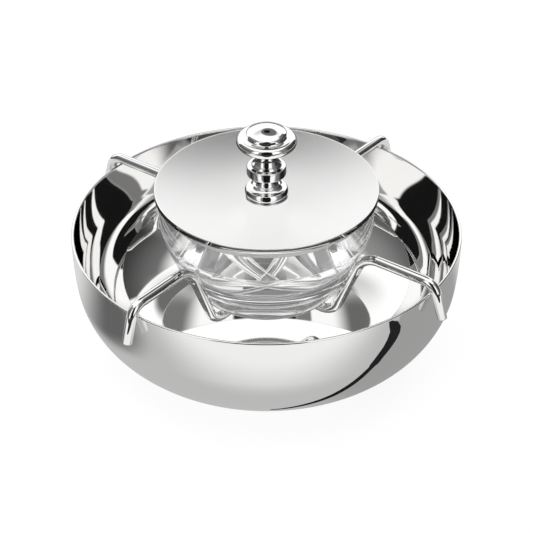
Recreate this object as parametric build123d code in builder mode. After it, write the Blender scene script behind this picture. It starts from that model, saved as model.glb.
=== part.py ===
"""Iced sugar server: a footless silver bowl for ice, a wire cradle hooked over its rim,
a thick glass dish standing in the cradle, and a dished lid with a turned knob.

Units are millimetres, +Z is up, and the origin is the centre of the bowl's flat base.
The cradle, the dish and the lid lift straight up, one out of the other.
"""

import math
import os

from build123d import *

# --- Bowl -----------------------------------------------------------------------------
RIM_R = 100.0            # outside radius at the rim
BOWL_WALL = 1.5
SHOULDER_R, SHOULDER_DEG = 225.0, 6.5     # nearly upright band below the rim
BELLY_R, BELLY_DEG = 44.0, 36.5           # the tighter turn, down to this slope
UNDER_R = 52.0                            # the easy turn that runs into the flat base

# --- Cradle rods ----------------------------------------------------------------------
ROD_R = 2.6
ROD_UPPER_DEG, ROD_LOWER_DEG = 50.8, 144.0   # plan directions of the two rods
HOOK_BEND_R = 8.0        # the bend radii are those of a rod's centreline
SEAT_TOP_BEND_R, SEAT_FOOT_BEND_R = 13.0, 11.0
ARM_RISE = 5.6           # centreline of the level arms above the rim
HOOK_LEAN_DEG = 16.5     # how far a hook's leg leans outwards from upright
HOOK_DROP = 13.0         # end of the leg's centreline below the rim
SEAT_TOP_R = 60.0        # where an arm turns down beside the dish
SEAT_FOOT_R = 42.2       # where it turns in under the dish
SEAT_DEPTH = 36.2        # centreline below the rim, under the dish
RIM_CLEARANCE = 0.03     # between a hook's bend and the rim
HOOK_END_ROUND = 0.6
NOTCH_LENGTH = 6 * ROD_R

# --- Glass dish (heights are above the bowl's rim) --------------------------------------
DISH_TOP, DISH_TOP_R = 21.3, 55.6
WAIST_Z, WAIST_R = 4.0, 54.6
SIDE_Z, SIDE_R = -14.0, 48.5
DISH_FOOT_R = 36.4
DISH_WALL = 3.3
DISH_FLOOR_T = 12.0      # thickness of the heavy base
DISH_FLOOR_R = 31.2      # flat part of the inside
DISH_RIM_ROUND = 1.2
DISH_FOOT_ROUND = 4.0
DISH_HOLLOW_R, DISH_HOLLOW_H = 28.0, 4.0     # shallow hollow under the base

# --- Lid ------------------------------------------------------------------------------
LID_R = 57.0
LID_EDGE_H = 3.0         # height of the solid edge
LID_SHEET = 1.2
LID_HOLLOW = 4.5         # depth of the hollow face at its centre
LID_PAD_R = 11.5         # flat pad under the knob
LID_FACE_R = 56.3        # outer end of the hollow face
LID_EDGE_ROUND = 0.3
RING_R, RING_T, RING_DROP = 51.4, 1.1, 5.0   # locating ring under the lid
RING_CHAMFER = 0.3

# --- Knob and its fastening -----------------------------------------------------------
# The knob's outline is given as (radius, height above the lid's pad) points.
FOOT_SIDE = [(10.0, 0), (11.0, 2.6), (10.2, 4.3)]
FOOT_SHOULDER = [(10.2, 4.3), (8.4, 4.9), (6.8, 6.3)]
LOWER_NECK = [(6.8, 6.3), (5.2, 8.9), (7.5, 11.5)]
RING_STEP = [(7.5, 11.5), (7.7, 12.1), (9.3, 12.1)]
RING_LOW_CORNER = [(9.3, 12.1), (9.8, 12.3), (10.0, 12.8)]
RING_HIGH_CORNER = [(10.0, 16.1), (9.7, 16.9), (9.0, 17.2)]
NECK_STEP = [(9.0, 17.2), (7.7, 17.4), (7.4, 18.3)]
UPPER_NECK = [(7.4, 18.3), (5.2, 23.1), (7.6, 27.9)]
DISC_UNDERSIDE = [(7.6, 27.9), (8.0, 28.5), (12.4, 28.5)]
DISC_EDGE = [(12.4, 28.5), (15.2, 31.3), (12.4, 34.1)]
BUTTON_SIDE = [(12.4, 34.1), (10.4, 34.1), (10.2, 35.9), (9.7, 36.5)]
KNOB_H = 39.4
BORE_R, BORE_DEPTH, BORE_TIP = 2.0, 12.0, 1.0
SCREW_R, SCREW_GRIP = 1.95, 10.0             # grip is the length inside the knob
SCREW_TIP_CHAMFER = 0.4
HOLE_R = 2.25            # hole in the lid and in the washer
HEAD_R, HEAD_H, HEAD_ROUND = 3.8, 2.4, 0.8
SLOT_W, SLOT_D = 1.0, 1.0
WASHER_R, WASHER_T = 5.5, 0.8

# --- Worked out from the sizes above --------------------------------------------------
SHOULDER, BELLY = math.radians(SHOULDER_DEG), math.radians(BELLY_DEG)
BOWL_H = (
    SHOULDER_R * math.sin(SHOULDER)
    + BELLY_R * (math.sin(BELLY) - math.sin(SHOULDER))
    + UNDER_R * (1 - math.sin(BELLY))
)
RIM_ROUND = 0.48 * BOWL_WALL

ARM_Z = BOWL_H + ARM_RISE
SEAT_Z = BOWL_H - SEAT_DEPTH

# A hook's bend just touches the rounded outer edge of the rim, which sets the hook's reach.
HOOK_LEAN = math.radians(HOOK_LEAN_DEG)
TOUCH = HOOK_BEND_R - ROD_R - RIM_ROUND - RIM_CLEARANCE
BEND_RISE = BOWL_H - RIM_ROUND - (ARM_Z - HOOK_BEND_R)
BEND_CENTRE_R = RIM_R - RIM_ROUND - math.sqrt(TOUCH**2 - BEND_RISE**2)
HOOK_CORNER_R = BEND_CENTRE_R + HOOK_BEND_R * math.tan((math.pi / 2 - HOOK_LEAN) / 2)
HOOK_END_Z = BOWL_H - HOOK_DROP
HOOK_END_R = HOOK_CORNER_R + (ARM_Z - HOOK_END_Z) * math.tan(HOOK_LEAN)

DISH_BASE_Z = SEAT_Z + ROD_R
DISH_TOP_Z = BOWL_H + DISH_TOP
LID_TOP_Z = DISH_TOP_Z + LID_EDGE_H
PAD_Z = LID_TOP_Z - LID_HOLLOW
PAD_UNDER_Z = PAD_Z - LID_SHEET
RING_IN_R = RING_R - RING_T


def bowl_outline(inset, top):
    """Closed half-outline of the bowl, moved inwards by inset, with an open top at top."""
    belly_r = RIM_R - SHOULDER_R + (SHOULDER_R - BELLY_R) * math.cos(SHOULDER)
    belly_z = BOWL_H - (SHOULDER_R - BELLY_R) * math.sin(SHOULDER)
    under_r = belly_r + (BELLY_R - UNDER_R) * math.cos(BELLY)
    CenterArc((RIM_R - SHOULDER_R, BOWL_H), SHOULDER_R - inset, 0, -SHOULDER_DEG)
    CenterArc((belly_r, belly_z), BELLY_R - inset, -SHOULDER_DEG, SHOULDER_DEG - BELLY_DEG)
    CenterArc((under_r, UNDER_R), UNDER_R - inset, -BELLY_DEG, BELLY_DEG - 90)
    Polyline((under_r, inset), (0, inset), (0, top), (RIM_R - inset, top), (RIM_R - inset, BOWL_H))


with BuildPart() as ice_bowl:
    with BuildSketch(Plane.XZ):
        with BuildLine():
            bowl_outline(0, BOWL_H + BOWL_WALL)
        make_face()
    revolve(axis=Axis.Z)
    with BuildSketch(Plane.XZ):
        with BuildLine():
            bowl_outline(BOWL_WALL, BOWL_H + 2 * BOWL_WALL)
        make_face()
    revolve(axis=Axis.Z, mode=Mode.SUBTRACT)
    split(bisect_by=Plane.XY.offset(BOWL_H), keep=Keep.BOTTOM)
    fillet(ice_bowl.edges().group_by(Axis.Z)[-1], RIM_ROUND)
ice_bowl.part.label = "ice_bowl"


def cradle_rod(direction_deg, crossing_deg, notch_side):
    """A rod bent into hook, arm, seat, arm and hook, with its notch above (1) or below (-1)."""
    half = [
        (HOOK_END_R, HOOK_END_Z),
        (HOOK_CORNER_R, ARM_Z),
        (SEAT_TOP_R, ARM_Z),
        (SEAT_FOOT_R, SEAT_Z),
    ]
    route = half + [(-r, z) for r, z in reversed(half)]
    c, s = math.cos(math.radians(direction_deg)), math.sin(math.radians(direction_deg))
    points = [(r * c, r * s, z) for r, z in route]
    bends = [HOOK_BEND_R, SEAT_TOP_BEND_R, SEAT_FOOT_BEND_R]
    with BuildPart() as rod:
        with BuildLine() as bar:
            FilletPolyline(*points, radius=bends + bends[::-1])
        with BuildSketch(Plane(origin=bar.line @ 0, z_dir=bar.line % 0)):
            Circle(ROD_R)
        sweep()
        fillet(rod.faces().filter_by(GeomType.PLANE).edges(), HOOK_END_ROUND)
        # The rods cross at half their thickness: each notch is as wide as the other rod.
        with Locations(Location((0, 0, SEAT_Z + notch_side * ROD_R), (0, 0, crossing_deg))):
            Box(NOTCH_LENGTH, 2 * ROD_R, 2 * ROD_R, mode=Mode.SUBTRACT)
    return rod


cradle_rod_upper = cradle_rod(ROD_UPPER_DEG, ROD_LOWER_DEG, -1)
cradle_rod_upper.part.label = "cradle_rod_upper"

cradle_rod_lower = cradle_rod(ROD_LOWER_DEG, ROD_UPPER_DEG, 1)
cradle_rod_lower.part.label = "cradle_rod_lower"

with BuildPart() as glass_dish:
    with BuildSketch(Plane.XZ):
        with BuildLine():
            top = (DISH_TOP_R, DISH_TOP_Z)
            waist = (WAIST_R, BOWL_H + WAIST_Z)
            foot = (DISH_FOOT_R, DISH_BASE_Z)
            under_edge = (DISH_HOLLOW_R, DISH_BASE_Z)
            under_top = (0, DISH_BASE_Z + DISH_HOLLOW_H)
            floor_z = DISH_BASE_Z + DISH_FLOOR_T
            inner_waist = (WAIST_R - DISH_WALL, BOWL_H + WAIST_Z)
            inner_top = (DISH_TOP_R - DISH_WALL, DISH_TOP_Z)
            Line(top, waist)
            ThreePointArc(waist, (SIDE_R, BOWL_H + SIDE_Z), foot)
            Line(foot, under_edge)
            TangentArc(under_top, under_edge, tangent=(1, 0))
            Polyline(under_top, (0, floor_z), (DISH_FLOOR_R, floor_z))
            EllipticalCenterArc(
                (DISH_FLOOR_R, inner_waist[1]),
                inner_waist[0] - DISH_FLOOR_R,
                inner_waist[1] - floor_z,
                start_angle=270,
                arc_size=90,
            )
            Polyline(inner_waist, inner_top, top)
        make_face()
    revolve(axis=Axis.Z)
    fillet(glass_dish.edges().group_by(Axis.Z)[-1], DISH_RIM_ROUND)
    base_circles = glass_dish.edges().group_by(Axis.Z)[0]
    fillet(base_circles.filter_by(lambda e: math.isclose(e.radius, DISH_FOOT_R)), DISH_FOOT_ROUND)
glass_dish.part.label = "glass_dish"

with BuildPart() as lid_plate:
    with BuildSketch(Plane.XZ):
        with BuildLine():
            face_in, face_out = (LID_PAD_R, PAD_Z), (LID_FACE_R, LID_TOP_Z)
            face = TangentArc(face_in, face_out, tangent=(1, 0))
            under = TangentArc(
                (LID_PAD_R, PAD_UNDER_Z), (RING_IN_R, LID_TOP_Z - 2 * LID_SHEET), tangent=(1, 0)
            )
            Polyline(
                under @ 1,
                (RING_IN_R, DISH_TOP_Z),
                (LID_R, DISH_TOP_Z),
                (LID_R, LID_TOP_Z),
                face_out,
            )
            Polyline(face_in, (HOLE_R, PAD_Z), (HOLE_R, PAD_UNDER_Z), (LID_PAD_R, PAD_UNDER_Z))
        make_face()
    revolve(axis=Axis.Z)
    circles = lid_plate.edges().filter_by(GeomType.CIRCLE)
    fillet(circles.filter_by(lambda e: math.isclose(e.radius, LID_R)), LID_EDGE_ROUND)
lid_plate.part.label = "lid_plate"

with BuildPart() as lid_locating_ring:
    with BuildSketch(Plane.XY.offset(DISH_TOP_Z)):
        Circle(RING_R)
        Circle(RING_IN_R, mode=Mode.SUBTRACT)
    extrude(amount=-RING_DROP)
    chamfer(lid_locating_ring.edges().group_by(Axis.Z)[0], RING_CHAMFER)
lid_locating_ring.part.label = "lid_locating_ring"

# The knob is one turning: foot, neck, middle ring, neck, broad disc and a domed button.
KNOB_PLANE = Plane(origin=(0, 0, PAD_Z), x_dir=(1, 0, 0), z_dir=(0, -1, 0))

with BuildPart() as knob:
    with BuildSketch(KNOB_PLANE):
        with BuildLine():
            Polyline((0, BORE_DEPTH + BORE_TIP), (BORE_R, BORE_DEPTH), (BORE_R, 0), FOOT_SIDE[0])
            ThreePointArc(*FOOT_SIDE)
            ThreePointArc(*FOOT_SHOULDER)
            ThreePointArc(*LOWER_NECK)
            Polyline(*RING_STEP)
            ThreePointArc(*RING_LOW_CORNER)
            Line(RING_LOW_CORNER[-1], RING_HIGH_CORNER[0])
            ThreePointArc(*RING_HIGH_CORNER)
            Polyline(*NECK_STEP)
            ThreePointArc(*UPPER_NECK)
            Polyline(*DISC_UNDERSIDE)
            ThreePointArc(*DISC_EDGE)
            Polyline(*BUTTON_SIDE)
            TangentArc((0, KNOB_H), BUTTON_SIDE[-1], tangent=(1, 0))
            Line((0, KNOB_H), (0, BORE_DEPTH + BORE_TIP))
        make_face()
    revolve(axis=Axis.Z)
knob.part.label = "knob"

WASHER_Z = PAD_UNDER_Z - WASHER_T
HEAD_Z = WASHER_Z - HEAD_H

with BuildPart() as knob_washer:
    with BuildSketch(Plane.XY.offset(WASHER_Z)):
        Circle(WASHER_R)
        Circle(HOLE_R, mode=Mode.SUBTRACT)
    extrude(amount=WASHER_T)
knob_washer.part.label = "knob_washer"

with BuildPart() as knob_screw:
    with BuildSketch(Plane.XY.offset(HEAD_Z)):
        Circle(HEAD_R)
    extrude(amount=HEAD_H)
    fillet(knob_screw.edges().group_by(Axis.Z)[0], HEAD_ROUND)
    with BuildSketch(Plane.XY.offset(WASHER_Z)):
        Circle(SCREW_R)
    extrude(amount=PAD_Z + SCREW_GRIP - WASHER_Z)
    chamfer(knob_screw.edges().group_by(Axis.Z)[-1], SCREW_TIP_CHAMFER)
    with BuildSketch(Plane.XY.offset(HEAD_Z)):
        Rectangle(2 * HEAD_R, SLOT_W)
    extrude(amount=SLOT_D, mode=Mode.SUBTRACT)
knob_screw.part.label = "knob_screw"

os.makedirs("parts", exist_ok=True)
export_step(ice_bowl.part, "parts/ice_bowl.step")
export_step(cradle_rod_upper.part, "parts/cradle_rod_upper.step")
export_step(cradle_rod_lower.part, "parts/cradle_rod_lower.step")
export_step(glass_dish.part, "parts/glass_dish.step")
export_step(lid_plate.part, "parts/lid_plate.step")
export_step(lid_locating_ring.part, "parts/lid_locating_ring.step")
export_step(knob.part, "parts/knob.step")
export_step(knob_washer.part, "parts/knob_washer.step")
export_step(knob_screw.part, "parts/knob_screw.step")
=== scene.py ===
"""Looks of the iced sugar server: mirror-polished silver, a satin lid and thick clear glass."""

import math

import bmesh
import bpy
from mathutils import Matrix, Vector


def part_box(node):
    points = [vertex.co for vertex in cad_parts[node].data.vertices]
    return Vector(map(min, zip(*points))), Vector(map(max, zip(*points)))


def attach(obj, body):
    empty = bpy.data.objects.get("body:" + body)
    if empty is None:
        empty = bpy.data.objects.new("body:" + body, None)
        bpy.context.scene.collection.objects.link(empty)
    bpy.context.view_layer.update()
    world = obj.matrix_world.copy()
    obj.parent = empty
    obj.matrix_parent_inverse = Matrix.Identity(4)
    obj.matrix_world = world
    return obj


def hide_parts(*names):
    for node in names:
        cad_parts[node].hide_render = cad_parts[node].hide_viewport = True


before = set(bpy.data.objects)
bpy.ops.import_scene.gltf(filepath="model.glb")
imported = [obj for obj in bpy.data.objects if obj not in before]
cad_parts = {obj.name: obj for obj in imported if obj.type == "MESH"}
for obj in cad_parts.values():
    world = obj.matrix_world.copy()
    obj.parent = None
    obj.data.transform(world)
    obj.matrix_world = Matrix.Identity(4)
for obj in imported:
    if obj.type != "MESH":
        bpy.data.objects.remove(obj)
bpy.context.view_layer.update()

MM = 0.001

# --- Bowl, in millimetres like all sizes here, and the same as the frame's ----------------
RIM_R = 100.0
BOWL_WALL = 1.5
SHOULDER_R, SHOULDER_DEG = 225.0, 6.5     # nearly upright band below the rim, and where it ends
BELLY_R, BELLY_DEG = 44.0, 36.5           # the tighter turn below it, and where that ends
UNDER_R = 52.0                            # the last turn, which runs into the flat base
SHOULDER, BELLY = math.radians(SHOULDER_DEG), math.radians(BELLY_DEG)
BELLY_CENTRE_DROP = (SHOULDER_R - BELLY_R) * math.sin(SHOULDER)
BOWL_H = BELLY_CENTRE_DROP + BELLY_R * math.sin(BELLY) + UNDER_R * (1 - math.sin(BELLY))
RIM_ROUND = 0.48 * BOWL_WALL              # the frame's rounding of the rim, which the hooks clear

# --- Cradle rods ----------------------------------------------------------------------
ROD_R = 2.6
ROD_UPPER_DEG, ROD_LOWER_DEG = 50.8, 144.0   # plan directions of the two rods
HOOK_BEND_R, SEAT_TOP_BEND_R, SEAT_FOOT_BEND_R = 8.0, 13.0, 11.0
ARM_Z, SEAT_Z, HOOK_END_Z = BOWL_H + 5.6, BOWL_H - 36.2, BOWL_H - 13.0
SEAT_TOP_R, SEAT_FOOT_R = 60.0, 42.2
HOOK_LEAN = math.radians(16.5)
HOOK_END_ROUND = 0.6
RIM_CLEARANCE = 0.03
BEND_CENTRE_R = RIM_R - RIM_ROUND - math.sqrt(
    (HOOK_BEND_R - ROD_R - RIM_ROUND - RIM_CLEARANCE) ** 2
    - (BOWL_H - RIM_ROUND - (ARM_Z - HOOK_BEND_R)) ** 2
)
HOOK_CORNER_R = BEND_CENTRE_R + HOOK_BEND_R * math.tan((math.pi / 2 - HOOK_LEAN) / 2)
HOOK_END_R = HOOK_CORNER_R + (ARM_Z - HOOK_END_Z) * math.tan(HOOK_LEAN)

# --- Glass dish -----------------------------------------------------------------------
DISH_BASE_Z = SEAT_Z + ROD_R
DISH_TOP_R, DISH_TOP_Z = 55.6, BOWL_H + 21.3
DISH_WAIST = (54.6, BOWL_H + 4.0)
DISH_SIDE = (48.5, BOWL_H - 14.0)
DISH_FOOT = (36.4, DISH_BASE_Z)
DISH_WALL = 3.3
DISH_FLOOR_R, DISH_FLOOR_Z = 31.2, DISH_BASE_Z + 12.0
DISH_RIM_ROUND, DISH_WAIST_ROUND, DISH_FOOT_ROUND = 1.2, 6.0, 4.0
DISH_HOLLOW_R, DISH_HOLLOW_H = 28.0, 4.0
LID_GAP = 0.02           # keeps the glass and the lid from sharing a face

# --- Lid and its locating ring ----------------------------------------------------------
LID_R, LID_FACE_R, LID_PAD_R = 57.0, 56.3, 11.5
LID_TOP_Z = DISH_TOP_Z + 3.0
LID_HOLLOW, LID_SHEET = 4.5, 1.2
LID_EDGE_ROUNDS = [0.15, 0.4, 0.35, 0.1]
LID_UNDER_STEP = 0.6     # from the edge's flat underside up to the hollow
PAD_Z = LID_TOP_Z - LID_HOLLOW
PAD_UNDER_Z = PAD_Z - LID_SHEET
HOLE_R = 2.25
RING_IN_R, RING_R = 50.3, 51.4
RING_ROUNDS = [0.05, 0.3, 0.3]

# --- Knob: (radius, height above the lid's pad) points ------------------------------------
BORE_R, BORE_DEPTH, BORE_TIP_Z = 2.0, 12.0, 12.9
FOOT_BASE_R = 9.7
FOOT_SIDE = [(10.0, 0.1), (11.0, 2.6), (10.2, 4.3)]
FOOT_SHOULDER = [(10.2, 4.3), (8.4, 4.9), (6.8, 6.3)]
LOWER_NECK = [(6.8, 6.3), (5.2, 8.9), (7.5, 11.5)]
MIDDLE_RING = [(7.5, 11.5), (7.7, 12.1), (10.0, 12.1), (10.0, 17.1), (7.7, 17.4), (7.4, 18.3)]
MIDDLE_RING_ROUNDS = [0.2, 0.7, 0.9, 0.2]
UPPER_NECK = [(7.4, 18.3), (5.2, 23.1), (7.6, 27.9)]
DISC_UNDERSIDE, DISC_UNDERSIDE_ROUND = [(7.6, 27.9), (8.0, 28.5), (12.4, 28.5)], 0.2
DISC_EDGE = [(12.4, 28.5), (15.2, 31.3), (12.4, 34.1)]
BUTTON_SIDE, BUTTON_ROUNDS = [(12.4, 34.1), (10.4, 34.1), (10.2, 35.9), (9.7, 36.5)], [0.15, 0.5]
KNOB_H = 39.4

# --- Cards that only mirrors see, in millimetres --------------------------------------------
TABLE_IN_R, TABLE_OUT_R, ROOM_IN_R, ROOM_OUT_R = 50.0, 450.0, 630.0, 4050.0
TABLE_CARD_Z, SEAM_Z, DARK_FLOOR_Z, ROOM_CARD_Z = 0.2, 0.4, 0.6, 88.0
SEAM = [  # x, y and half width along the dark seam across the table
    (2, -77, 1.0), (20, -80.5, 2.0), (40, -84, 2.6), (60, -88.5, 3.0), (80, -93, 3.3), (88, -94, 3.4),
    (100, -91.5, 4.0), (110, -88.5, 5.0), (120, -86, 6.5), (130, -85, 8.0), (138, -88, 10.0), (146, -94, 8.0),
]
PAPER_END_Y, PAPER_LEFT_X, PAPER_RIGHT_X = -300.0, -235.0, 420.0
ROOM_FRONT_R, ROOM_FRONT_DEG, ROOM_FRONT_REACH = 64.0, (-104, -76), 10.0
ROOM_SIDES_R, ROOM_SIDES_DEG, ROOM_SIDES_REACH = 58.0, (-35, 215), 2.2
KNOB_COVER = [  # hugs the knob's widest parts; radius and height above the pad
    (11.4, 0.2), (11.4, 4.6), (10.4, 12.0), (10.4, 17.4), (15.5, 29.0), (15.5, 33.4), (10.5, 36.6),
    (5.5, 39.2), (0.1, 39.8),
]
PAINTED_REFLECTION_LIFT, PAINTED_REFLECTION_IN_R = 0.05, 5.0           # the burnished copy, a painted reflection, floats this far above the lid

# --- Studio, in degrees: azimuth 0 is the camera's side, elevation 0 the horizon -----------
# A side panel: its near and far edges, how fast the far edge leans in with height, how its
# level climbs between two elevations, and the level of its near part.
RIGHT_PANEL = {"near": (43, 60), "far": (141, 138), "lean": 0.85, "climb": (15, 56, 0.035, 0.16),
               "near_part": (88, 74), "near_level": 0.18}
LEFT_PANEL = {"near": (44, 60), "far": (121, 118), "lean": 1.0, "climb": (14, 48, 0.10, 0.25),
              "near_part": (72, 64), "near_level": 0.14}
PANEL_TOP, PANEL_LEAN_FROM = (60, 46), 34
DARK_PATCHES = [  # azimuth, elevation, inner and outer radius, level
    (1, 53, 8, 10, 0.008),       # the top of the camera
    (170, 57, 16, 20, 0.14),     # a grey patch high at the back
    (178, 57, 6.5, 8, 0.01),     # a black one inside it
]
STUDIO_BRIGHTNESS = 1.12
CAMERA_ELEVATION, CAMERA_DISTANCE_M = math.radians(35.07), 1.0
CAMERA_AIM_BELOW_RIM = 25.5


# --- Outlines ---------------------------------------------------------------------------
def arc(centre, radius, start_deg, end_deg, steps, squash=1.0):
    """Points along an arc about centre; squash scales its height to make an ellipse."""
    points = []
    for i in range(steps + 1):
        a = math.radians(start_deg + (end_deg - start_deg) * i / steps)
        points.append((centre[0] + radius * math.cos(a), centre[1] + radius * squash * math.sin(a)))
    return points


def three_point_arc(start, middle, end, steps):
    """Points along the circle through three points, from start to end."""
    (x1, y1), (x2, y2), (x3, y3) = start, middle, end
    d = 2 * (x1 * (y2 - y3) + x2 * (y3 - y1) + x3 * (y1 - y2))
    s1, s2, s3 = x1 * x1 + y1 * y1, x2 * x2 + y2 * y2, x3 * x3 + y3 * y3
    cx = (s1 * (y2 - y3) + s2 * (y3 - y1) + s3 * (y1 - y2)) / d
    cy = (s1 * (x3 - x2) + s2 * (x1 - x3) + s3 * (x2 - x1)) / d
    a1, a2, a3 = (math.degrees(math.atan2(y - cy, x - cx)) for x, y in (start, middle, end))
    if (a2 - a1) % 360 < (a3 - a1) % 360:
        sweep = (a3 - a1) % 360
    else:
        sweep = (a3 - a1) % 360 - 360
    return arc((cx, cy), math.hypot(x1 - cx, y1 - cy), a1, a1 + sweep, steps)


def sphere_cap(run, rise):
    """The radius of a sphere and the degrees it spans, for a cap with this radius and height."""
    sphere = (run * run + rise * rise) / (2 * rise)
    return sphere, math.degrees(math.asin(run / sphere))


def rounded(points, radii, steps=6):
    """A run of corners with each one rounded; radii has one value for each inner corner."""
    out = [points[0]]
    for before, corner, after, radius in zip(points, points[1:], points[2:], radii):
        c = Vector(corner)
        back, ahead = Vector(before) - c, Vector(after) - c
        u, v = back.normalized(), ahead.normalized()
        half = u.angle(v) / 2
        reach = min(radius / math.tan(half), 0.49 * back.length, 0.49 * ahead.length)
        centre = c + (u + v).normalized() * (reach / math.cos(half))
        first, last = c + u * reach - centre, c + v * reach - centre
        turn = -first.angle_signed(last)
        for i in range(steps + 1):
            cosine, sine = math.cos(turn * i / steps), math.sin(turn * i / steps)
            x = centre.x + first.x * cosine - first.y * sine
            y = centre.y + first.x * sine + first.y * cosine
            out.append((x, y))
    out.append(points[-1])
    return out


def scaled(points, factor):
    return [(x * factor, y * factor) for x, y in points]


# --- Meshes -----------------------------------------------------------------------------
def new_object(name, bm):
    """Puts a finished mesh into the scene, shaded smooth."""
    mesh = bpy.data.meshes.new(name)
    bm.to_mesh(mesh)
    bm.free()
    mesh.shade_smooth()
    thing = bpy.data.objects.new(name, mesh)
    bpy.context.scene.collection.objects.link(thing)
    return thing


def new_piece(name, bm, body):
    """A piece that rides on a body."""
    bmesh.ops.recalc_face_normals(bm, faces=bm.faces)
    piece = new_object(name, bm)
    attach(piece, body)
    return piece


def new_card(name, bm, material):
    """A stage card that shows only in what mirrors it: not through the glass, and shadowless."""
    card = new_object(name, bm)
    paint(card, material)
    card.visible_camera = False
    card.visible_transmission = False
    card.visible_diffuse = False
    card.visible_shadow = False


def join_rings(bm, lower, upper):
    """Faces between two rings; either may be a single point on the axis."""
    turns = max(len(lower), len(upper))
    for i in range(turns):
        j = (i + 1) % turns
        if len(lower) == 1:
            bm.faces.new((lower[0], upper[j], upper[i]))
        elif len(upper) == 1:
            bm.faces.new((lower[i], lower[j], upper[0]))
        else:
            bm.faces.new((lower[i], lower[j], upper[j], upper[i]))


def turned_mesh(outline, turns, closed=False):
    """Turns (radius, height) points about the axis; the outside is on the right of the outline."""
    on_axis = 1e-6
    bm = bmesh.new()
    rings = []
    for r, z in outline:
        if r < on_axis:
            rings.append([bm.verts.new((0, 0, z * MM))])
            continue
        angles = [math.tau * i / turns for i in range(turns)]
        rings.append([bm.verts.new((r * MM * math.cos(a), r * MM * math.sin(a), z * MM)) for a in angles])
    pairs = list(zip(rings, rings[1:]))
    if closed:
        pairs.append((rings[-1], rings[0]))
    for lower, upper in pairs:
        join_rings(bm, lower, upper)
    return bm


def lathe(name, outline, body, turns=288, closed=False):
    """A turned piece that rides on a body."""
    return new_piece(name, turned_mesh(outline, turns, closed), body)


def bowl_side(inset):
    """The bowl's side from rim to axis, moved inwards by inset."""
    belly_r = RIM_R - SHOULDER_R + (SHOULDER_R - BELLY_R) * math.cos(SHOULDER)
    belly_z = BOWL_H - BELLY_CENTRE_DROP
    under_r = belly_r + (BELLY_R - UNDER_R) * math.cos(BELLY)
    side = arc((RIM_R - SHOULDER_R, BOWL_H), SHOULDER_R - inset, 0, -SHOULDER_DEG, 24)
    side += arc((belly_r, belly_z), BELLY_R - inset, -SHOULDER_DEG, -BELLY_DEG, 40)[1:]
    side += arc((under_r, UNDER_R), UNDER_R - inset, -BELLY_DEG, -90, 60)[1:]
    flat_steps = 24
    flat = [(under_r * (1 - i / flat_steps), inset) for i in range(1, flat_steps + 1)]
    return side + flat


def make_bowl():
    lip = BOWL_WALL / 2
    outside = [p for p in bowl_side(0) if p[1] < BOWL_H - lip]
    inside = [p for p in bowl_side(BOWL_WALL) if p[1] < BOWL_H - lip]
    rim = arc((RIM_R - lip, BOWL_H - lip), lip, 0, 180, 16)
    bowl = lathe("ice_bowl_polished", outside[::-1] + rim + inside, "bowl", turns=384)
    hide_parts("ice_bowl")
    return bowl


def rod_centreline():
    """The rod's bends in its own upright plane, as (distance, height) points in millimetres."""
    half = [(HOOK_END_R, HOOK_END_Z), (HOOK_CORNER_R, ARM_Z), (SEAT_TOP_R, ARM_Z), (SEAT_FOOT_R, SEAT_Z)]
    route = half + [(-r, z) for r, z in reversed(half)]
    bends = [HOOK_BEND_R, SEAT_TOP_BEND_R, SEAT_FOOT_BEND_R]
    return rounded(route, bends + bends[::-1], steps=14)


def rod_end(point, inwards):
    """(place, direction, radius) stations over a rod's rounded end, from full width to the tip."""
    steps = 4
    stations = []
    for i in range(steps + 1):
        a = math.radians(90 * i / steps)
        place = point + inwards * HOOK_END_ROUND * (1 - math.sin(a))
        stations.append((place, inwards, ROD_R - HOOK_END_ROUND * (1 - math.cos(a))))
    return stations


def rod_stations():
    """(place, direction, radius) stations along a rod, from tip to tip."""
    line = [Vector(point) for point in rod_centreline()]
    middle = []
    for before, point, after in zip(line, line[1:], line[2:]):
        middle.append((point, (after - before).normalized(), ROD_R))
    start = rod_end(line[0], (line[1] - line[0]).normalized())
    finish = rod_end(line[-1], (line[-2] - line[-1]).normalized())
    # Every station faces the same way along the rod.
    finish = [(place, -inwards, radius) for place, inwards, radius in finish]
    return start[::-1] + middle + finish


def make_rod(name, node, direction_deg):
    """A round bar swept along the bends, with softly rounded ends."""
    sides = 48
    turn = Matrix.Rotation(math.radians(direction_deg), 3, "Z")
    bm = bmesh.new()
    rings = []
    for place, along, radius in rod_stations():
        normal = Vector((-along.y, along.x))
        ring = []
        for i in range(sides):
            a = math.tau * i / sides
            flat = place + normal * radius * math.cos(a)
            ring.append(bm.verts.new(turn @ Vector((flat.x, radius * math.sin(a), flat.y)) * MM))
        rings.append(ring)
    for first, second in zip(rings, rings[1:]):
        join_rings(bm, first, second)
    bm.faces.new(rings[0])
    bm.faces.new(rings[-1])
    rod = new_piece(name, bm, "cradle")
    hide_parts(node)
    return rod


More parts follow.
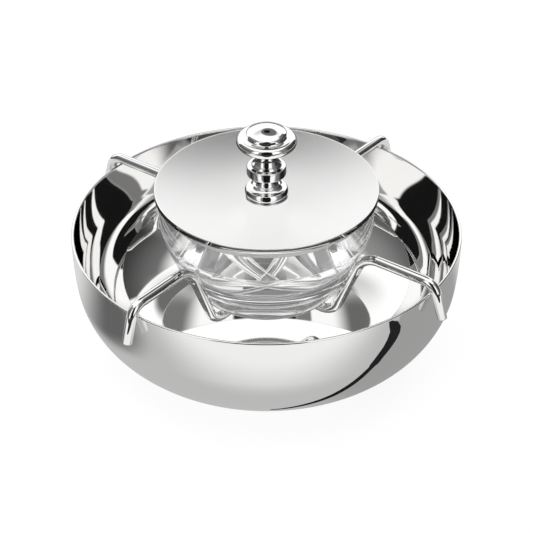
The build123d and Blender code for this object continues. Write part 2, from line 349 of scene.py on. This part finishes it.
def make_dish():
    foot_points = 12         # points of the outer arc that the foot's rounding takes up
    top = (DISH_TOP_R, DISH_TOP_Z - LID_GAP)
    inner_top = (DISH_TOP_R - DISH_WALL, DISH_TOP_Z - LID_GAP)
    inner_waist = (DISH_WAIST[0] - DISH_WALL, DISH_WAIST[1])
    outer = three_point_arc(DISH_FOOT, DISH_SIDE, DISH_WAIST, 60)
    sphere, span = sphere_cap(DISH_HOLLOW_R, DISH_HOLLOW_H)
    hollow = arc((0, DISH_BASE_Z + DISH_HOLLOW_H - sphere), sphere, 90, 90 - span, 24)
    base = hollow[:-1] + rounded([hollow[-1], DISH_FOOT, outer[foot_points]], [DISH_FOOT_ROUND], 8)
    skirt = rounded([outer[-2], DISH_WAIST, top], [DISH_WAIST_ROUND], 6)
    lip = rounded([DISH_WAIST, top, inner_top, inner_waist], [DISH_RIM_ROUND] * 2, 8)
    inner_r = inner_waist[0] - DISH_FLOOR_R
    depth = DISH_WAIST[1] - DISH_FLOOR_Z
    inner = arc((DISH_FLOOR_R, DISH_WAIST[1]), inner_r, 360, 270, 60, depth / inner_r)
    outline = base[:-1] + outer[foot_points:-2] + skirt[1:-1] + lip[1:-1] + inner + [(0, DISH_FLOOR_Z)]
    dish = lathe("glass_dish_clear", outline, "dish", turns=288)
    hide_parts("glass_dish")
    return dish


def lid_face(steps, lift=0.0):
    """The lid's hollow face from the pad outwards."""
    sphere, span = sphere_cap(LID_FACE_R - LID_PAD_R, LID_HOLLOW)
    return arc((LID_PAD_R, PAD_Z + sphere + lift), sphere, -90, -90 + span, steps)


def make_lid():
    face = lid_face(60)
    edge_z = DISH_TOP_Z
    hollow_end = (RING_IN_R, edge_z + LID_UNDER_STEP)
    corners = [face[-2], face[-1], (LID_R, LID_TOP_Z), (LID_R, edge_z), (RING_IN_R, edge_z), hollow_end]
    edge = rounded(corners, LID_EDGE_ROUNDS, 10)
    sphere, span = sphere_cap(RING_IN_R - LID_PAD_R, hollow_end[1] - PAD_UNDER_Z)
    under = arc((LID_PAD_R, PAD_UNDER_Z + sphere), sphere, -90 + span, -90, 30)
    outline = [(HOLE_R, PAD_Z)] + face[:-2] + edge[:-1] + under + [(HOLE_R, PAD_UNDER_Z)]
    lid = lathe("lid_plate_satin", outline, "lid", turns=288, closed=True)
    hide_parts("lid_plate")
    return lid


def make_ring():
    low, high = (v.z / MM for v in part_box("lid_locating_ring"))
    corners = [(RING_IN_R, high), (RING_R, high), (RING_R, low), (RING_IN_R, low), (RING_IN_R, high)]
    outline = rounded(corners, RING_ROUNDS, 4)
    ring = lathe("lid_locating_ring_satin", outline[:-1], "lid", closed=True)
    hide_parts("lid_locating_ring")
    return ring


def make_knob():
    """One turning: foot, neck, middle ring, neck, broad disc and a domed button."""
    outline = [(0, BORE_TIP_Z), (BORE_R, BORE_DEPTH), (BORE_R, 0), (FOOT_BASE_R, 0)]
    outline += three_point_arc(*FOOT_SIDE, 24)
    outline += three_point_arc(*FOOT_SHOULDER, 16)[1:]
    outline += three_point_arc(*LOWER_NECK, 24)[1:]
    outline += rounded(MIDDLE_RING, MIDDLE_RING_ROUNDS, 6)[1:]
    outline += three_point_arc(*UPPER_NECK, 24)[1:]
    outline += rounded(DISC_UNDERSIDE, [DISC_UNDERSIDE_ROUND], 4)[1:]
    outline += three_point_arc(*DISC_EDGE, 40)[1:]
    outline += rounded(BUTTON_SIDE, BUTTON_ROUNDS, 5)[1:-1]
    button_r, button_z = BUTTON_SIDE[-1]
    sphere, span = sphere_cap(button_r, KNOB_H - button_z)
    outline += arc((0, KNOB_H - sphere), sphere, 90 - span, 90, 24)
    knob = lathe("knob_polished", [(r, z + PAD_Z) for r, z in outline], "lid", turns=192)
    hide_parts("knob")
    return knob


# --- Node helpers -----------------------------------------------------------------------
class Shades:
    """Small helpers that build a brightness out of numbers and node outputs."""

    def __init__(self, tree):
        self.tree = tree

    def math(self, operation, first, second=0.0):
        node = self.tree.nodes.new("ShaderNodeMath")
        node.operation = operation
        for i, value in enumerate((first, second)):
            if isinstance(value, (int, float)):
                node.inputs[i].default_value = value
            else:
                self.tree.links.new(value, node.inputs[i])
        return node.outputs[0]

    def both(self, first, second):
        """Where two masks overlap."""
        return self.math("MULTIPLY", first, second)

    def step(self, value, start, end, low=0.0, high=1.0):
        """low at start, high at end, smooth between; start may be above end."""
        node = self.tree.nodes.new("ShaderNodeMapRange")
        node.interpolation_type = "SMOOTHSTEP"
        if start > end:
            start, end, low, high = end, start, high, low
        for name, number in (("From Min", start), ("From Max", end), ("To Min", low), ("To Max", high)):
            node.inputs[name].default_value = number
        self.tree.links.new(value, node.inputs["Value"])
        return node.outputs["Result"]

    def between(self, value, start, end, soft):
        """1 from start to end and 0 outside, with edges that are soft on both sides."""
        rise = self.step(value, start - soft, start + soft)
        fall = self.step(value, end + soft, end - soft)
        return self.both(rise, fall)

    def dim(self, light, mask, level):
        """Turns light towards level where mask is 1."""
        change = self.math("SUBTRACT", level, light)
        return self.math("ADD", light, self.math("MULTIPLY", change, mask))

    def azimuth(self, x, y):
        """Radians round from the camera's side, towards +X."""
        return self.math("ARCTAN2", x, self.math("MULTIPLY", y, -1.0))


def xyz(tree, space="Object"):
    """The x, y and z outputs of a point; the object's space stays with the piece."""
    coordinates = tree.nodes.new("ShaderNodeTexCoord")
    parts = tree.nodes.new("ShaderNodeSeparateXYZ")
    tree.links.new(coordinates.outputs[space], parts.inputs[0])
    return tuple(parts.outputs)


def noise(tree, scale, detail=3.0):
    """Noise in the piece's own space, so that it stays with the piece."""
    coordinates = tree.nodes.new("ShaderNodeTexCoord")
    texture = tree.nodes.new("ShaderNodeTexNoise")
    texture.inputs["Scale"].default_value = scale
    texture.inputs["Detail"].default_value = detail
    tree.links.new(coordinates.outputs["Object"], texture.inputs["Vector"])
    return texture.outputs["Fac"]


def spread(tree, value, low, high):
    """Maps the middle of a noise to the range low to high."""
    ranged = tree.nodes.new("ShaderNodeMapRange")
    ranged.inputs["From Min"].default_value = 0.3
    ranged.inputs["From Max"].default_value = 0.7
    ranged.inputs["To Min"].default_value = low
    ranged.inputs["To Max"].default_value = high
    tree.links.new(value, ranged.inputs["Value"])
    return ranged.outputs["Result"]


def speckle(tree, scale, first, second):
    """A colour that wanders between two, each given as a grey level or as (red, green, blue)."""
    colours = [(c, c, c) if isinstance(c, float) else c for c in (first, second)]
    mix = tree.nodes.new("ShaderNodeMix")
    mix.data_type = "RGBA"
    mix.inputs["A"].default_value = (*colours[0], 1)
    mix.inputs["B"].default_value = (*colours[1], 1)
    tree.links.new(noise(tree, scale), mix.inputs["Factor"])
    return mix.outputs["Result"]


def new_material(name):
    material = bpy.data.materials.new(name)
    material.use_nodes = True
    return material, material.node_tree, material.node_tree.nodes["Principled BSDF"]


def bare_material(name):
    """A material without its usual shader."""
    material, tree, shader = new_material(name)
    tree.nodes.remove(shader)
    return material, tree


def show(tree, shader):
    tree.links.new(shader, tree.nodes["Material Output"].inputs["Surface"])


def show_in_front(tree, shader):
    """The shader on the front of each face, and nothing on its back."""
    side = tree.nodes.new("ShaderNodeNewGeometry")
    clear = tree.nodes.new("ShaderNodeBsdfTransparent")
    mix = tree.nodes.new("ShaderNodeMixShader")
    tree.links.new(side.outputs["Backfacing"], mix.inputs[0])
    tree.links.new(shader, mix.inputs[1])
    tree.links.new(clear.outputs[0], mix.inputs[2])
    show(tree, mix.outputs[0])


# --- Materials of the pieces --------------------------------------------------------------
def polished_silver():
    material, tree, shader = new_material("polished_silver")
    shader.inputs["Metallic"].default_value = 1.0
    colour = speckle(tree, 30, (0.915, 0.912, 0.905), (0.94, 0.937, 0.93))
    tree.links.new(colour, shader.inputs["Base Color"])
    tree.links.new(spread(tree, noise(tree, 60, 5), 0.015, 0.035), shader.inputs["Roughness"])
    return material


def satin_silver():
    """Satin on the lid's face and polished beyond it."""
    material, tree, shader = new_material("satin_silver")
    shader.inputs["Metallic"].default_value = 1.0
    shades = Shades(tree)
    x, y, _ = xyz(tree)
    squares = shades.math("ADD", shades.math("MULTIPLY", x, x), shades.math("MULTIPLY", y, y))
    blend = 0.2
    edge = shades.step(shades.math("SQRT", squares), LID_FACE_R * MM, (LID_FACE_R + blend) * MM)
    satin = spread(tree, noise(tree, 500, 4), 0.31, 0.35)
    tree.links.new(shades.dim(satin, edge, 0.03), shader.inputs["Roughness"])
    tree.links.new(speckle(tree, 25, (0.88, 0.88, 0.875), (0.92, 0.92, 0.915)), shader.inputs["Base Color"])
    return material


def underside_silver_painted_shade():
    """The lid's underside, left unpolished, with its colour darkened as painted shade."""
    material, tree, shader = new_material("underside_silver_painted_shade")
    shader.inputs["Metallic"].default_value = 1.0
    # A dark base colour: painted shade on the lid's underside.
    tree.links.new(speckle(tree, 40, 0.26, (0.32, 0.32, 0.315)), shader.inputs["Base Color"])
    tree.links.new(spread(tree, noise(tree, 400, 4), 0.40, 0.50), shader.inputs["Roughness"])
    return material


def clear_glass():
    """Clear, with the slightest ripple and a faint painted glow that lightens it."""
    material, tree, shader = new_material("clear_glass")
    shader.inputs["Base Color"].default_value = (0.985, 0.99, 0.988, 1)
    shader.inputs["Transmission Weight"].default_value = 1.0
    shader.inputs["IOR"].default_value = 1.50
    shader.inputs["Roughness"].default_value = 0.0
    # A faint white emission: painted glow, as the glass is no lamp.
    shader.inputs["Emission Color"].default_value = (1.0, 1.0, 1.0, 1)
    shader.inputs["Emission Strength"].default_value = 0.03
    ripple = tree.nodes.new("ShaderNodeBump")
    ripple.inputs["Strength"].default_value = 0.05
    ripple.inputs["Distance"].default_value = 0.0004
    tree.links.new(noise(tree, 45, 1), ripple.inputs["Height"])
    tree.links.new(ripple.outputs["Normal"], shader.inputs["Normal"])
    return material


def plain_steel():
    material, tree, shader = new_material("screw_steel")
    shader.inputs["Metallic"].default_value = 1.0
    tree.links.new(speckle(tree, 900, (0.50, 0.50, 0.51), (0.62, 0.62, 0.63)), shader.inputs["Base Color"])
    tree.links.new(spread(tree, noise(tree, 700), 0.28, 0.40), shader.inputs["Roughness"])
    return material


def silicone():
    material, tree, shader = new_material("washer_silicone")
    tree.links.new(speckle(tree, 800, (0.72, 0.72, 0.70), (0.82, 0.82, 0.80)), shader.inputs["Base Color"])
    tree.links.new(spread(tree, noise(tree, 600), 0.45, 0.6), shader.inputs["Roughness"])
    return material


def paint(obj, material):
    obj.data.materials.clear()
    obj.data.materials.append(material)


def paint_lid(lid, face_material):
    """The given material all over, but darker silver with painted shade on what faces down."""
    paint(lid, face_material)
    lid.data.materials.append(underside_silver_painted_shade())
    # Faces turned down get the painted shade.
    for face in lid.data.polygons:
        if face.normal.z < -0.5:
            face.material_index = 1


# --- Floor and cards ----------------------------------------------------------------------
def pale_floor():
    material, tree, shader = new_material("pale_floor")
    tree.links.new(speckle(tree, 8, 0.26, 0.30), shader.inputs["Base Color"])
    shader.inputs["Roughness"].default_value = 0.9
    shader.inputs["Specular IOR Level"].default_value = 0.1
    shader.inputs["Emission Color"].default_value = (1, 1, 1, 1)
    shader.inputs["Emission Strength"].default_value = 0.86
    return material


def matt(name, scale, first, second):
    material, tree, shader = new_material(name)
    tree.links.new(speckle(tree, scale, first, second), shader.inputs["Base Color"])
    shader.inputs["Roughness"].default_value = 0.9
    return material


def from_above_black():
    """Black from above and clear from below."""
    material = matt("from_above_black", 20, 0.01, 0.03)
    show_in_front(material.node_tree, material.node_tree.nodes["Principled BSDF"].outputs[0])
    return material


def table_painted_shade():
    """The table's painted light and shade, glowing, as the polished wall above it mirrors it."""
    material, tree = bare_material("table_painted_shade")
    shades = Shades(tree)
    x, y = (shades.math("MULTIPLY", metres, 1 / MM) for metres in xyz(tree)[:2])
    # Lighter towards the front.
    light = shades.step(y, -98, -165, 0.52, 0.92)
    # Darker behind the seam's line, from the middle to the right, and lighter again far right.
    seam_y = shades.math("ADD", shades.step(x, 0, 88, -77, -94), shades.step(x, 88, 130, 0, 10))
    behind_seam = shades.step(shades.math("SUBTRACT", y, seam_y), -1, 1)
    light = shades.dim(light, shades.both(behind_seam, shades.step(x, 0, 60)), 0.35)
    far_right = shades.both(shades.step(x, 60, 110), shades.step(y, 25, 70))
    light = shades.dim(light, far_right, 0.7)
    # Painted shade beside the bowl at the left, fading backwards.
    beside = shades.both(shades.step(x, -92, -125), shades.step(y, -108, -60))
    light = shades.dim(light, beside, shades.step(y, -38, 45, 0.13, 0.72))
    # The card glows with this painted light and shade; it is no lamp.
    emission = tree.nodes.new("ShaderNodeEmission")
    tree.links.new(light, emission.inputs["Strength"])
    show(tree, emission.outputs[0])
    return material


def lid_painted_reflection():
    """A painted reflection: a mirror from above, darker towards the back, and clear from below."""
    material, tree = bare_material("lid_painted_reflection")
    mirror = tree.nodes.new("ShaderNodeBsdfGlossy")
    mirror.inputs["Roughness"].default_value = 0.04
    shades = Shades(tree)
    x, y, _ = xyz(tree)
    turned = shades.math("ABSOLUTE", shades.azimuth(x, y))
    # The mirror's colour by turn about the axis: a painted reflection, darker at the back.
    tree.links.new(shades.step(turned, 1.0, 1.4, 0.92, 0.12), mirror.inputs["Color"])
    show_in_front(tree, mirror.outputs[0])
    return material


def painted_glow_white():
    """Painted glow: white from outside and clear from inside."""
    material, tree = bare_material("painted_glow_white")
    glow = tree.nodes.new("ShaderNodeEmission")
    # White emission: a painted glow, as the cover is no lamp.
    tree.links.new(speckle(tree, 40, 0.97, 1.0), glow.inputs["Color"])
    show_in_front(tree, glow.outputs[0])
    return material


def flat_strip(name, left_edge, right_edge, height, material):
    """A level ribbon card between two runs of (x, y) points in millimetres."""
    bm = bmesh.new()
    rows = []
    for a, b in zip(left_edge, right_edge):
        rows.append([bm.verts.new((x * MM, y * MM, height * MM)) for x, y in (a, b)])
    for first, second in zip(rows, rows[1:]):
        bm.faces.new((first[0], first[1], second[1], second[0]))
    new_card(name, bm, material)


def make_floor():
    bm = bmesh.new()
    bmesh.ops.create_grid(bm, x_segments=8, y_segments=8, size=4.0)
    floor = new_object("floor", bm)
    paint(floor, pale_floor())


def room_card(name, radius, span_deg, reach, steps):
    """Part of the dark room above the rim, from radius out to reach times that."""
    near = arc((0, 0), radius, *span_deg, steps)
    flat_strip(name, near, scaled(near, reach), ROOM_CARD_Z, from_above_black())


def make_table():
    """What the bowl and the hooks mirror: the table with its painted light and shade and its dark seam, and
    the room beyond.
    """
    inner, outer, near, far = (
        arc((0, 0), radius, 0, 360, 96) for radius in (TABLE_IN_R, TABLE_OUT_R, ROOM_IN_R, ROOM_OUT_R)
    )
    flat_strip("table_painted_shade", inner, outer, TABLE_CARD_Z, table_painted_shade())
    black = matt("seam_black", 60, 0.004, 0.010)
    upper = [(x, y + half) for x, y, half in SEAM]
    lower = [(x, y - half) for x, y, half in SEAM]
    flat_strip("table_seam", upper, lower, SEAM_Z, black)
    flat_strip("room_floor", near, far, TABLE_CARD_Z, matt("room_floor", 3, 0.03, 0.05))
    steps = 12
    width = PAPER_RIGHT_X - PAPER_LEFT_X
    paper_end = [(PAPER_LEFT_X + width * i / steps, PAPER_END_Y) for i in range(steps + 1)]
    flat_strip("dark_floor", paper_end, scaled(paper_end, 8), DARK_FLOOR_Z, black)
    room_card("room_front", ROOM_FRONT_R, ROOM_FRONT_DEG, ROOM_FRONT_REACH, 12)
    room_card("room_sides", ROOM_SIDES_R, ROOM_SIDES_DEG, ROOM_SIDES_REACH, 60)


def make_lid_painted_reflection():
    """What the knob mirrors: a painted reflection of the lid's face under it, as bright and clear as a
    burnished one.
    """
    outline = lid_face(40, PAINTED_REFLECTION_LIFT)[::-1] + [(PAINTED_REFLECTION_IN_R, PAD_Z + PAINTED_REFLECTION_LIFT)]
    new_card("lid_painted_reflection", turned_mesh(outline, 192), lid_painted_reflection())


def make_knob_painted_glow_screen():
    """A close cover round the knob that glows white, a painted reflection: the lid and the bowl mirror it,
    the knob looks out through it.
    """
    outline = [(r, z + PAD_Z) for r, z in KNOB_COVER]
    new_card("knob_painted_glow_screen", turned_mesh(outline, 192), painted_glow_white())


# --- Studio -----------------------------------------------------------------------------
def side_panel(sky, light, turn, elevation, panel):
    """Light with a dark panel at one side; turn is the azimuth counted towards that side."""
    height = sky.math("MAXIMUM", sky.math("SUBTRACT", elevation, PANEL_LEAN_FROM), 0.0)
    far_turn = sky.math("ADD", turn, sky.math("MULTIPLY", height, panel["lean"]))
    inside = sky.both(sky.step(turn, *panel["near"]), sky.step(far_turn, *panel["far"]))
    level = sky.step(elevation, *panel["climb"])
    level = sky.dim(level, sky.step(turn, *panel["near_part"]), panel["near_level"])
    return sky.dim(light, sky.both(inside, sky.step(elevation, *PANEL_TOP)), level)


def spot(sky, direction, azimuth_deg, elevation_deg, inner_deg, outer_deg):
    """1 inside a round patch of sky and 0 outside it."""
    a, e = math.radians(azimuth_deg), math.radians(elevation_deg)
    towards = (math.sin(a) * math.cos(e), -math.cos(a) * math.cos(e), math.sin(e))
    products = [sky.math("MULTIPLY", part, number) for part, number in zip(direction, towards)]
    cosine = sky.math("ADD", sky.math("ADD", products[0], products[1]), products[2])
    return sky.step(cosine, math.cos(math.radians(outer_deg)), math.cos(math.radians(inner_deg)))


def make_world():
    """White panels all round, dark where the camera stands, and darker to the left and the right."""
    world = bpy.data.worlds.new("studio")
    bpy.context.scene.world = world
    world.use_nodes = True
    tree = world.node_tree
    sky = Shades(tree)
    direction = xyz(tree, "Generated")
    x, y, z = direction
    azimuth = sky.math("DEGREES", sky.azimuth(x, y))
    elevation = sky.math("DEGREES", sky.math("ARCSINE", z))
    turned = sky.math("ABSOLUTE", azimuth)

    light = sky.step(elevation, -1, 6, 0.25, 1.0)
    light = side_panel(sky, light, azimuth, elevation, RIGHT_PANEL)
    light = side_panel(sky, light, sky.math("MULTIPLY", azimuth, -1.0), elevation, LEFT_PANEL)
    front_beam = sky.both(sky.step(turned, 64, 58), sky.between(elevation, 48, 57, 2))
    light = sky.dim(light, front_beam, 0.35)
    back_haze = sky.both(sky.step(turned, 120, 150), sky.between(elevation, 44, 60, 8))
    light = sky.dim(light, back_haze, 0.62)
    stripe = sky.both(sky.between(azimuth, -30, -20, 1), sky.step(elevation, 47, 43))
    light = sky.dim(light, stripe, 0.20)
    camera_gap = sky.both(sky.between(azimuth, -20, 22, 1.2), sky.step(elevation, 52, 47))
    light = sky.dim(light, camera_gap, 0.008)
    for *place, level in DARK_PATCHES:
        light = sky.dim(light, spot(sky, direction, *place), level)
    light = sky.math("MULTIPLY", light, STUDIO_BRIGHTNESS)
    # The camera itself sees plain white behind the object.
    path = tree.nodes.new("ShaderNodeLightPath")
    light = sky.math("MAXIMUM", light, path.outputs["Is Camera Ray"])
    background = tree.nodes["Background"]
    tree.links.new(light, background.inputs["Strength"])
    background.inputs["Color"].default_value = (1.0, 1.0, 1.0, 1)


def make_camera():
    """The camera looks along +Y from about 35 degrees above the table."""
    aim = Vector((0, 0, (BOWL_H - CAMERA_AIM_BELOW_RIM) * MM))
    back = Vector((0, -math.cos(CAMERA_ELEVATION), math.sin(CAMERA_ELEVATION)))
    camera = bpy.data.cameras.new("camera")
    camera.sensor_width = 36.0
    camera.lens = 129.7
    holder = bpy.data.objects.new("camera", camera)
    bpy.context.scene.collection.objects.link(holder)
    holder.location = aim + CAMERA_DISTANCE_M * back
    holder.rotation_euler = (math.pi / 2 - CAMERA_ELEVATION, 0, 0)
    bpy.context.scene.camera = holder


silver, satin = polished_silver(), satin_silver()
paint(make_bowl(), silver)
paint(make_rod("cradle_rod_upper_polished", "cradle_rod_upper", ROD_UPPER_DEG), silver)
paint(make_rod("cradle_rod_lower_polished", "cradle_rod_lower", ROD_LOWER_DEG), silver)
paint(make_dish(), clear_glass())
paint_lid(make_lid(), satin)
paint(make_ring(), satin)
paint(make_knob(), silver)
paint(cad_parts["knob_washer"], silicone())
paint(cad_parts["knob_screw"], plain_steel())

make_floor()
make_table()
make_lid_painted_reflection()
make_knob_painted_glow_screen()
make_world()
make_camera()
bpy.context.scene.view_settings.view_transform = "Standard"
